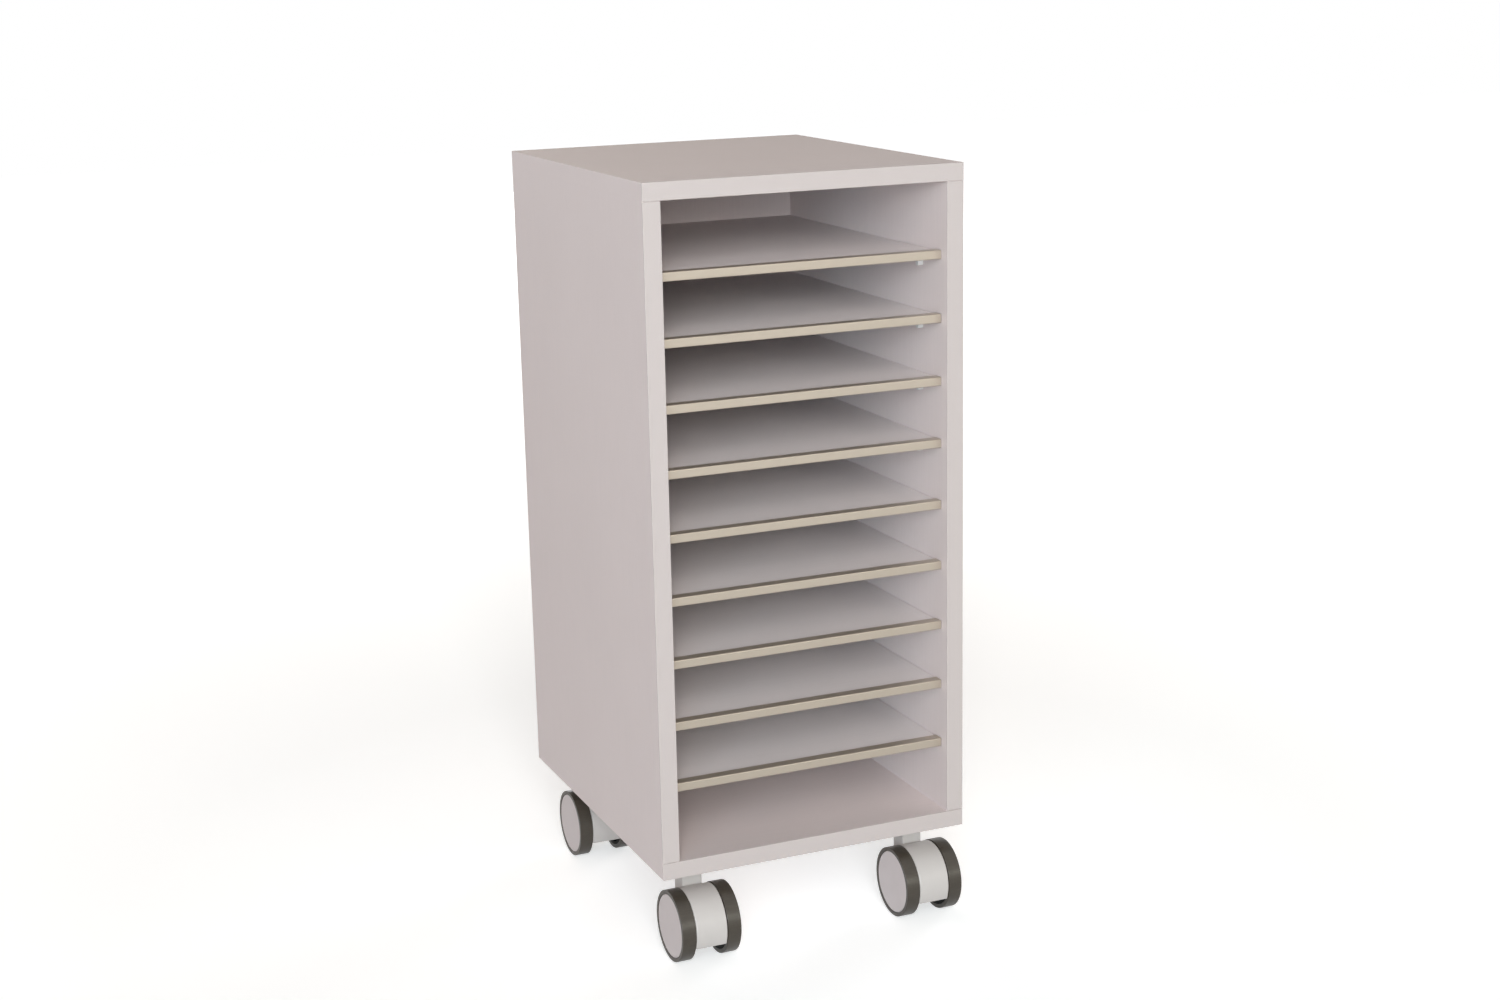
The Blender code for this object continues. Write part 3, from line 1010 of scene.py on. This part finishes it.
def makeHood(corner, facts, setup):
    node = f"{corner}_caster_housing"
    low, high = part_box(node)
    axle, pin, steps = facts["axle"], facts["pin"], setup["steps"]
    half = (high.x - low.x) / 2
    outline = hoodOutline(axle, setup["radius"], setup["drop"], steps)
    shape = bmesh.new()
    extrudeOutline(shape, outline, axle.x - half, axle.x + half)
    rim = [edge for edge in shape.edges if abs(edge.verts[0].co.x - edge.verts[1].co.x) < sameSpot]
    roundEdges(shape, rim, setup["edgeRound"], setup["edgeSteps"])
    hood = shellObject("hoodShell", shape)
    wall, insideHalf = setup["wall"], half - setup["cheek"]
    inside = hoodOutline(axle, setup["radius"] - wall, setup["drop"] + wall, steps)
    shape = bmesh.new()
    extrudeOutline(shape, inside, axle.x - insideHalf, axle.x + insideHalf)
    cavity = shellObject("cavityShell", shape)
    bossEnd = insideHalf + setup["bossGrip"]
    boss = rodShell("bossShell", setup["boss"], -bossEnd, bossEnd, axle)
    side = setup["neckSide"] / 2
    neckLow = (pin.x - side, pin.y - side, axle.z + setup["neckRoot"])
    neckHigh = (pin.x + side, pin.y + side, high.z)
    shape = bmesh.new()
    addBlock(shape, neckLow, neckHigh, setup["neckRound"], setup["neckSteps"])
    neck = shellObject("neckShell", shape)
    axleHole = rodShell("axleHoleShell", setup["axleHole"], -facts["outer"], facts["outer"], axle)
    holeLow = high.z - setup["pinHoleDepth"]
    pinHole = uprightRod("pinHoleShell", setup["pinHole"], holeLow, pin.z, (pin.x, pin.y, 0.0))
    mesh = carve(hood, [("DIFFERENCE", cavity), ("UNION", boss), ("UNION", neck),
                        ("DIFFERENCE", axleHole), ("DIFFERENCE", pinHole)])
    addMeshPiece(f"{corner}_hood", mesh, (finish["hoodPlastic"],), f"{corner}_swivel",
                 (node,), setup["sharpAngle"])


axlePiece = {
    "radius": 0.004,
    "chamfer": 0.0005,
    "groove": 0.0006,  # width and depth
    "grooveAt": 0.0022,
    "steps": 32,
}


def makeAxle(corner, facts, setup):
    node = f"{corner}_caster_axle"
    low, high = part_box(node)
    half, radius, chamfer = (high.x - low.x) / 2, setup["radius"], setup["chamfer"]
    near = half - setup["grooveAt"]
    far = near - setup["groove"]
    bottom = radius - setup["groove"]
    ending = [
        (far, radius),
        (far, bottom),
        (near, bottom),
        (near, radius),
        (half - chamfer, radius),
        (half, radius - chamfer),
        (half, 0.0),
    ]
    profile = [(-x, r) for x, r in reversed(ending)] + ending
    shape = bmesh.new()
    turnProfile(shape, profile, facts["axle"], setup["steps"])
    addPiece(f"{corner}_axle_rod", shape, (finish["zinc"],), f"{corner}_swivel", (node,))


wheelPiece = {
    "steps": 96,
    "arcSteps": 5,
    "discRecess": 0.0002,  # the disc lies this far inside the tyre's side
    "discRound": 0.0009,
    "discBackRound": 0.0002,
    "spareRound": 0.0001,  # at the disc's middle, where the arcs are cut away
    "tyreRound": 0.0005,
    "tyreInnerRound": (0.0002, 0.0003),
    "sideSlope": 0.85,  # steeper parts of a tyre belong to its side wall, whose near-black rubber is partly its own darker rubber and partly painted shade
    "tyreThickness": 0.0042,
    "seat": 0.0003,
    "cap": 0.0016,
    "rim": 0.003,
    "web": 0.003,
    "hub": 0.008,
    "bore": 0.0043,
}


def wheelShape(profile, hand, facts, setup, closed=False):
    side = -1.0 if hand == "left" else 1.0
    shape = bmesh.new()
    handed = [(side * x, radius) for x, radius in profile]
    turnProfile(shape, handed, facts["axle"], setup["steps"], closed)
    return shape


def makeTread(corner, hand, facts, setup):
    outer, inner, reach = facts["outer"], facts["inner"], facts["reach"]
    tyreInner = reach - setup["tyreThickness"]
    nearRound, farRound = setup["tyreInnerRound"]
    corners = [
        (inner, tyreInner, nearRound),
        (outer, tyreInner, farRound),
        (outer, reach, setup["tyreRound"]),
        (inner, reach, setup["tyreRound"]),
    ]
    profile = roundOutline(corners, setup["arcSteps"])
    shape = wheelShape(profile, hand, facts, setup, closed=True)
    for ring in shape.faces:
        ring.normal_update()
        if abs(ring.normal.x) > setup["sideSlope"]:
            ring.material_index = 1
    looks = (finish["treadRubber"], finish["sideRubber"])
    addPiece(f"{corner}_{hand}_tread", shape, looks, f"{corner}_{hand}_wheel",
             (f"{corner}_caster_{hand}_tyre",))


def makeWheel(corner, hand, facts, setup):
    # a light cap disc outside and a near-black core behind it; the core's colour is partly dark plastic
    # and partly painted shade for the wheel's shadowed inner side
    node, body = f"{corner}_caster_{hand}_wheel", f"{corner}_{hand}_wheel"
    outer, inner = facts["outer"], facts["inner"]
    rimRadius = facts["reach"] - setup["tyreThickness"] - setup["seat"]
    face = outer - setup["discRecess"]
    capBack = face - setup["cap"]
    capEdge = [
        (face, 0.0, setup["spareRound"]),
        (face, rimRadius, setup["discRound"]),
        (capBack, rimRadius, setup["discBackRound"]),
        (capBack, 0.0, setup["spareRound"]),
    ]
    arc = setup["arcSteps"] + 1  # points in each corner's arc
    rounded = [(point[0], point[1]) for point in roundOutline(capEdge, setup["arcSteps"])]
    profile = [(face, 0.0)] + rounded[arc:3 * arc] + [(capBack, 0.0)]
    shape = wheelShape(profile, hand, facts, setup)
    addPiece(f"{corner}_{hand}_disc", shape, (finish["discPlastic"],), body, (node,))
    coreFace, web = capBack - setup["seat"] / 3, outer - setup["web"]
    rimInner, hub, bore = rimRadius - setup["rim"], setup["hub"], setup["bore"]
    profile = [
        (coreFace, 0.0),
        (coreFace, rimRadius),
        (inner, rimRadius),
        (inner, rimInner),
        (web, rimInner),
        (web, hub),
        (inner, hub),
        (inner, bore),
        (web, bore),
        (web, 0.0),
    ]
    shape = wheelShape(profile, hand, facts, setup)
    addPiece(f"{corner}_{hand}_core", shape, (finish["corePlasticPaintedShade"],), body, (node,))


for corner in cornerNames:
    casterPlaces = casterFacts(corner)
    makePlate(corner, casterPlaces, platePiece)
    makePin(corner, casterPlaces, pinPiece)
    makeHood(corner, casterPlaces, hoodPiece)
    makeAxle(corner, casterPlaces, axlePiece)
    for hand in ("left", "right"):
        makeTread(corner, hand, casterPlaces, wheelPiece)
        makeWheel(corner, hand, casterPlaces, wheelPiece)
print("casters made:", len(cornerNames))
